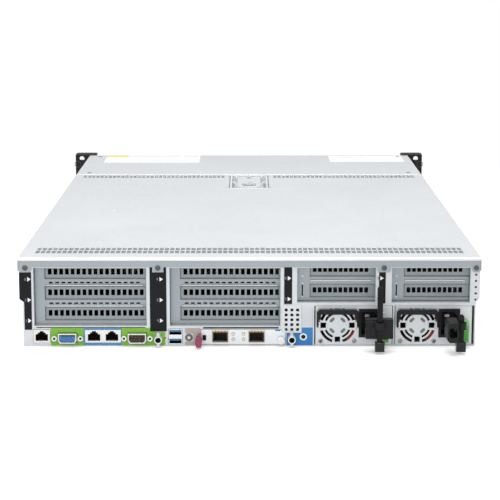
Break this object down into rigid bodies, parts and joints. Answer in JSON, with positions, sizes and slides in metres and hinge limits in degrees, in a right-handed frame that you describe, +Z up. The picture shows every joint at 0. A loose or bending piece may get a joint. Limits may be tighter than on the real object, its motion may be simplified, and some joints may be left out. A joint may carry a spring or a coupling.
{
  "type": "rack server",
  "caption": "Two-unit rack server with perforated slot covers, two plug-in power supplies with bail handles, cord clamps, network module, drive carriers and a lift-off latched cover.",
  "frame": {"origin": "middle of the floor pan's underside", "axes": "+X to the right when the rear face is looked at, +Y from the rear face to the front, +Z up"},
  "size_m": [0.4826, 0.8086, 0.0874],
  "materials": {
    "zinc_sheet": "zinc plated sheet, fine grain, light wear",
    "cover_sheet": "zinc plated sheet, smooth, pale",
    "bracket_sheet": "bright sheet",
    "bright_steel": "nickel plated",
    "black_label": "printed film, satin",
    "black_plastic": "moulded, satin",
    "dark_rotor": "moulded, satin",
    "green_plastic": "moulded release tab",
    "maroon_plastic": "moulded touch point",
    "blue_plastic": "moulded touch point",
    "clear_nylon": "moulded nylon",
    "board": "solder mask",
    "aluminium_fins": "extruded",
    "dark_metal": "dark coated sheet"
  },
  "bodies": {
    "chassis": {"base_pan": "zinc_sheet", "rear_panel": "zinc_sheet", "rear_top_rail": "zinc_sheet", "rear_screws": "bright_steel", "label_strips": "black_label", "riser_cage_left": "bracket_sheet", "riser_cage_middle": "bracket_sheet", "riser_cage_right": "bracket_sheet", "slot_covers": "bracket_sheet", "riser_boards": "board", "guide_posts": "zinc_sheet", "dsub_ports": "bright_steel", "lan_ports": "bright_steel", "usb_ports": "bright_steel", "psu_cage": "zinc_sheet", "motherboard": "board", "cpu_heatsinks": "aluminium_fins", "memory_modules": "board", "air_duct": "black_plastic", "fan_cage": "black_plastic", "drive_cage": "zinc_sheet", "drive_backplane": "board", "drive_blanks": "dark_metal", "front_cover": "cover_sheet", "left_ear": "black_plastic", "right_ear": "black_plastic"},
    "cover": {"top_cover": "cover_sheet"},
    "cover_latch": {"latch_handle": "black_plastic"},
    "uid_button": {"uid_button": "blue_plastic"},
    "rear_power_button": {"rear_power_button": "black_plastic"},
    "front_power_button": {"front_power_button": "black_plastic"},
    "network_module": {"ocp_module": "bright_steel", "ocp_pull_tab": "maroon_plastic"},
    "module_thumbscrew": {"ocp_thumbscrew": "bright_steel"},
    "supply_1": {"psu_1_case": "zinc_sheet", "psu_1_inlet": "black_plastic"},
    "supply_1_fan": {"psu_1_fan": "dark_rotor"},
    "supply_1_handle": {"psu_1_handle": "black_plastic"},
    "supply_1_latch": {"psu_1_latch": "green_plastic"},
    "supply_1_strap": {"psu_1_strap": "clear_nylon"},
    "supply_1_clamp": {"psu_1_clamp": "clear_nylon"},
    "supply_2": {"psu_2_case": "zinc_sheet", "psu_2_inlet": "black_plastic"},
    "supply_2_fan": {"psu_2_fan": "dark_rotor"},
    "supply_2_handle": {"psu_2_handle": "black_plastic"},
    "supply_2_latch": {"psu_2_latch": "green_plastic"},
    "supply_2_strap": {"psu_2_strap": "clear_nylon"},
    "supply_2_clamp": {"psu_2_clamp": "clear_nylon"},
    "drive_1": {"drive_1": "dark_metal"},
    "drive_1_lever": {"drive_1_lever": "maroon_plastic"},
    "drive_2": {"drive_2": "dark_metal"},
    "drive_2_lever": {"drive_2_lever": "maroon_plastic"},
    "drive_3": {"drive_3": "dark_metal"},
    "drive_3_lever": {"drive_3_lever": "maroon_plastic"},
    "drive_4": {"drive_4": "dark_metal"},
    "drive_4_lever": {"drive_4_lever": "maroon_plastic"},
    "system_fan_1": {"fan_rotor_1": "dark_rotor"},
    "system_fan_2": {"fan_rotor_2": "dark_rotor"},
    "system_fan_3": {"fan_rotor_3": "dark_rotor"},
    "system_fan_4": {"fan_rotor_4": "dark_rotor"}
  },
  "joints": [
    {"name": "cover_lift", "type": "slide", "parent": "chassis", "child": "cover", "axis": [0, 0, 1], "range_m": [0, 0.12]},
    {"name": "cover_latch_hinge", "type": "hinge", "parent": "cover", "child": "cover_latch", "pos_m": [0, 0.167, 0.0844], "axis": [-1, 0, 0], "range_deg": [0, 80]},
    {"name": "supply_1_slide", "type": "slide", "parent": "chassis", "child": "supply_1", "axis": [0, -1, 0], "range_m": [0, 0.2]},
    {"name": "supply_1_handle_hinge", "type": "hinge", "parent": "supply_1", "child": "supply_1_handle", "pos_m": [0.0846, -0.3736, 0.0217], "axis": [1, 0, 0], "range_deg": [0, 90]},
    {"name": "supply_1_latch_slide", "type": "slide", "parent": "supply_1", "child": "supply_1_latch", "axis": [-1, 0, 0], "range_m": [0, 0.003], "stiffness_N_per_m": 900},
    {"name": "supply_1_clamp_hinge", "type": "hinge", "parent": "supply_1", "child": "supply_1_clamp", "pos_m": [0.1228, -0.401, 0.0204], "axis": [0, 0, 1], "range_deg": [0, 90]},
    {"name": "supply_1_strap_slide", "type": "slide", "parent": "supply_1", "child": "supply_1_strap", "axis": [0, 0, 1], "range_m": [-0.003, 0]},
    {"name": "supply_2_slide", "type": "slide", "parent": "chassis", "child": "supply_2", "axis": [0, -1, 0], "range_m": [0, 0.2]},
    {"name": "supply_2_handle_hinge", "type": "hinge", "parent": "supply_2", "child": "supply_2_handle", "pos_m": [0.1612, -0.3736, 0.0217], "axis": [1, 0, 0], "range_deg": [0, 90]},
    {"name": "supply_2_latch_slide", "type": "slide", "parent": "supply_2", "child": "supply_2_latch", "axis": [-1, 0, 0], "range_m": [0, 0.003], "stiffness_N_per_m": 900},
    {"name": "supply_2_clamp_hinge", "type": "hinge", "parent": "supply_2", "child": "supply_2_clamp", "pos_m": [0.1994, -0.401, 0.0204], "axis": [0, 0, 1], "range_deg": [0, 90]},
    {"name": "supply_2_strap_slide", "type": "slide", "parent": "supply_2", "child": "supply_2_strap", "axis": [0, 0, 1], "range_m": [0, 0.006]},
    {"name": "network_module_slide", "type": "slide", "parent": "chassis", "child": "network_module", "axis": [0, -1, 0], "range_m": [0, 0.12]},
    {"name": "module_thumbscrew_turn", "type": "hinge", "parent": "network_module", "child": "module_thumbscrew", "pos_m": [0.0304, -0.37, 0.0059], "axis": [0, 1, 0], "range_deg": [0, 1440]},
    {"name": "drive_1_slide", "type": "slide", "parent": "chassis", "child": "drive_1", "axis": [0, 1, 0], "range_m": [0, 0.16]},
    {"name": "drive_1_lever_hinge", "type": "hinge", "parent": "drive_1", "child": "drive_1_lever", "pos_m": [-0.2046, 0.3735, 0.0699], "axis": [0, 0, 1], "range_deg": [0, 60]},
    {"name": "drive_2_slide", "type": "slide", "parent": "chassis", "child": "drive_2", "axis": [0, 1, 0], "range_m": [0, 0.16]},
    {"name": "drive_2_lever_hinge", "type": "hinge", "parent": "drive_2", "child": "drive_2_lever", "pos_m": [-0.0991, 0.3735, 0.0699], "axis": [0, 0, 1], "range_deg": [0, 60]},
    {"name": "drive_3_slide", "type": "slide", "parent": "chassis", "child": "drive_3", "axis": [0, 1, 0], "range_m": [0, 0.16]},
    {"name": "drive_3_lever_hinge", "type": "hinge", "parent": "drive_3", "child": "drive_3_lever", "pos_m": [0.0064, 0.3735, 0.0699], "axis": [0, 0, 1], "range_deg": [0, 60]},
    {"name": "drive_4_slide", "type": "slide", "parent": "chassis", "child": "drive_4", "axis": [0, 1, 0], "range_m": [0, 0.16]},
    {"name": "drive_4_lever_hinge", "type": "hinge", "parent": "drive_4", "child": "drive_4_lever", "pos_m": [0.1119, 0.3735, 0.0699], "axis": [0, 0, 1], "range_deg": [0, 60]},
    {"name": "uid_button_press", "type": "slide", "parent": "chassis", "child": "uid_button", "axis": [0, 1, 0], "range_m": [0, 0.0012], "stiffness_N_per_m": 400},
    {"name": "rear_power_button_press", "type": "slide", "parent": "chassis", "child": "rear_power_button", "axis": [0, 1, 0], "range_m": [0, 0.0012], "stiffness_N_per_m": 400},
    {"name": "front_power_button_press", "type": "slide", "parent": "chassis", "child": "front_power_button", "axis": [0, -1, 0], "range_m": [0, 0.0012], "stiffness_N_per_m": 400},
    {"name": "supply_1_fan_turn", "type": "hinge", "parent": "supply_1", "child": "supply_1_fan", "pos_m": [0.0846, -0.37, 0.0204], "axis": [0, 1, 0], "continuous": true},
    {"name": "supply_2_fan_turn", "type": "hinge", "parent": "supply_2", "child": "supply_2_fan", "pos_m": [0.1612, -0.37, 0.0204], "axis": [0, 1, 0], "continuous": true},
    {"name": "system_fan_1_turn", "type": "hinge", "parent": "chassis", "child": "system_fan_1", "pos_m": [-0.1575, 0.092, 0.04], "axis": [0, 1, 0], "continuous": true},
    {"name": "system_fan_2_turn", "type": "hinge", "parent": "chassis", "child": "system_fan_2", "pos_m": [-0.0525, 0.092, 0.04], "axis": [0, 1, 0], "continuous": true},
    {"name": "system_fan_3_turn", "type": "hinge", "parent": "chassis", "child": "system_fan_3", "pos_m": [0.0525, 0.092, 0.04], "axis": [0, 1, 0], "continuous": true},
    {"name": "system_fan_4_turn", "type": "hinge", "parent": "chassis", "child": "system_fan_4", "pos_m": [0.1575, 0.092, 0.04], "axis": [0, 1, 0], "continuous": true}
  ]
}
